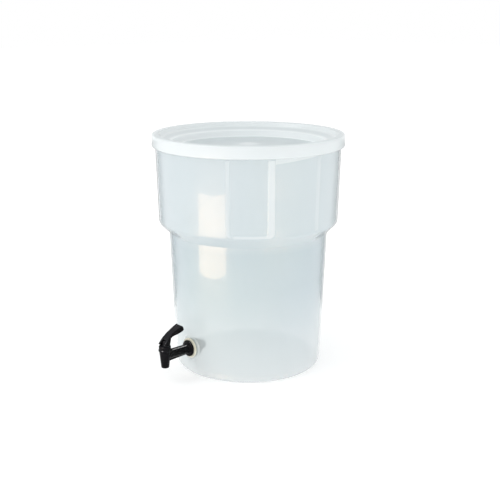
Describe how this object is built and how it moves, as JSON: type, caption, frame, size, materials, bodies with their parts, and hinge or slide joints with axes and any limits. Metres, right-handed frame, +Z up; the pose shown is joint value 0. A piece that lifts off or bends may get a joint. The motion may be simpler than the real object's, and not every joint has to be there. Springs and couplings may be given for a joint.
{
  "type": "plastic fermenting bucket",
  "caption": "Round translucent plastic bucket with a wider upper band, a press-fit stepped lid and a lever tap low on its wall, for fermenting, storing and pouring drinks.",
  "frame": {"origin": "middle of the whole object's box, on the surface it stands on; the bucket's own axis stands 15.1 mm further along +Y", "axes": "+Z up, the tap points along -Y, +X to the right seen from the tap's side"},
  "size_m": [0.316, 0.3462, 0.39],
  "materials": {
    "clear_plastic": "natural translucent polypropylene, satin gloss",
    "lid_plastic": "translucent white polyethylene, satin gloss",
    "black_plastic": "moulded black plastic, gloss",
    "cream_rubber": "cream rubber, satin",
    "silicone": "milky silicone, satin",
    "steel": "stainless steel, polished"
  },
  "bodies": {
    "vessel": {"bucket": "clear_plastic", "tap_body": "black_plastic", "tap_bonnet": "black_plastic", "tap_spring": "steel", "outer_washer": "cream_rubber", "inner_washer": "silicone", "shank_nut": "black_plastic"},
    "lid": {"lid": "lid_plastic", "lid_seal": "silicone"},
    "stem": {"tap_stem": "black_plastic", "seat_cup": "silicone", "lever_pin": "black_plastic"},
    "lever": {"tap_lever": "black_plastic"}
  },
  "joints": [
    {"name": "lid_lift", "type": "slide", "parent": "vessel", "child": "lid", "axis": [0, 0, 1], "range_m": [0, 0.06]},
    {"name": "stem_lift", "type": "slide", "parent": "vessel", "child": "stem", "axis": [0, 0, 1], "range_m": [0, 0.0025], "stiffness_N_per_m": 300, "springref_m": -0.004, "deforming": ["tap_spring"]},
    {"name": "lever_tilt", "type": "hinge", "parent": "stem", "child": "lever", "pos_m": [0, -0.1627, 0.0675], "axis": [1, 0, 0], "range_deg": [0, 50]}
  ],
  "couplings": [
    {"joint": "lever_tilt", "follows": "stem_lift", "rad_per_m": 349.07}
  ]
}
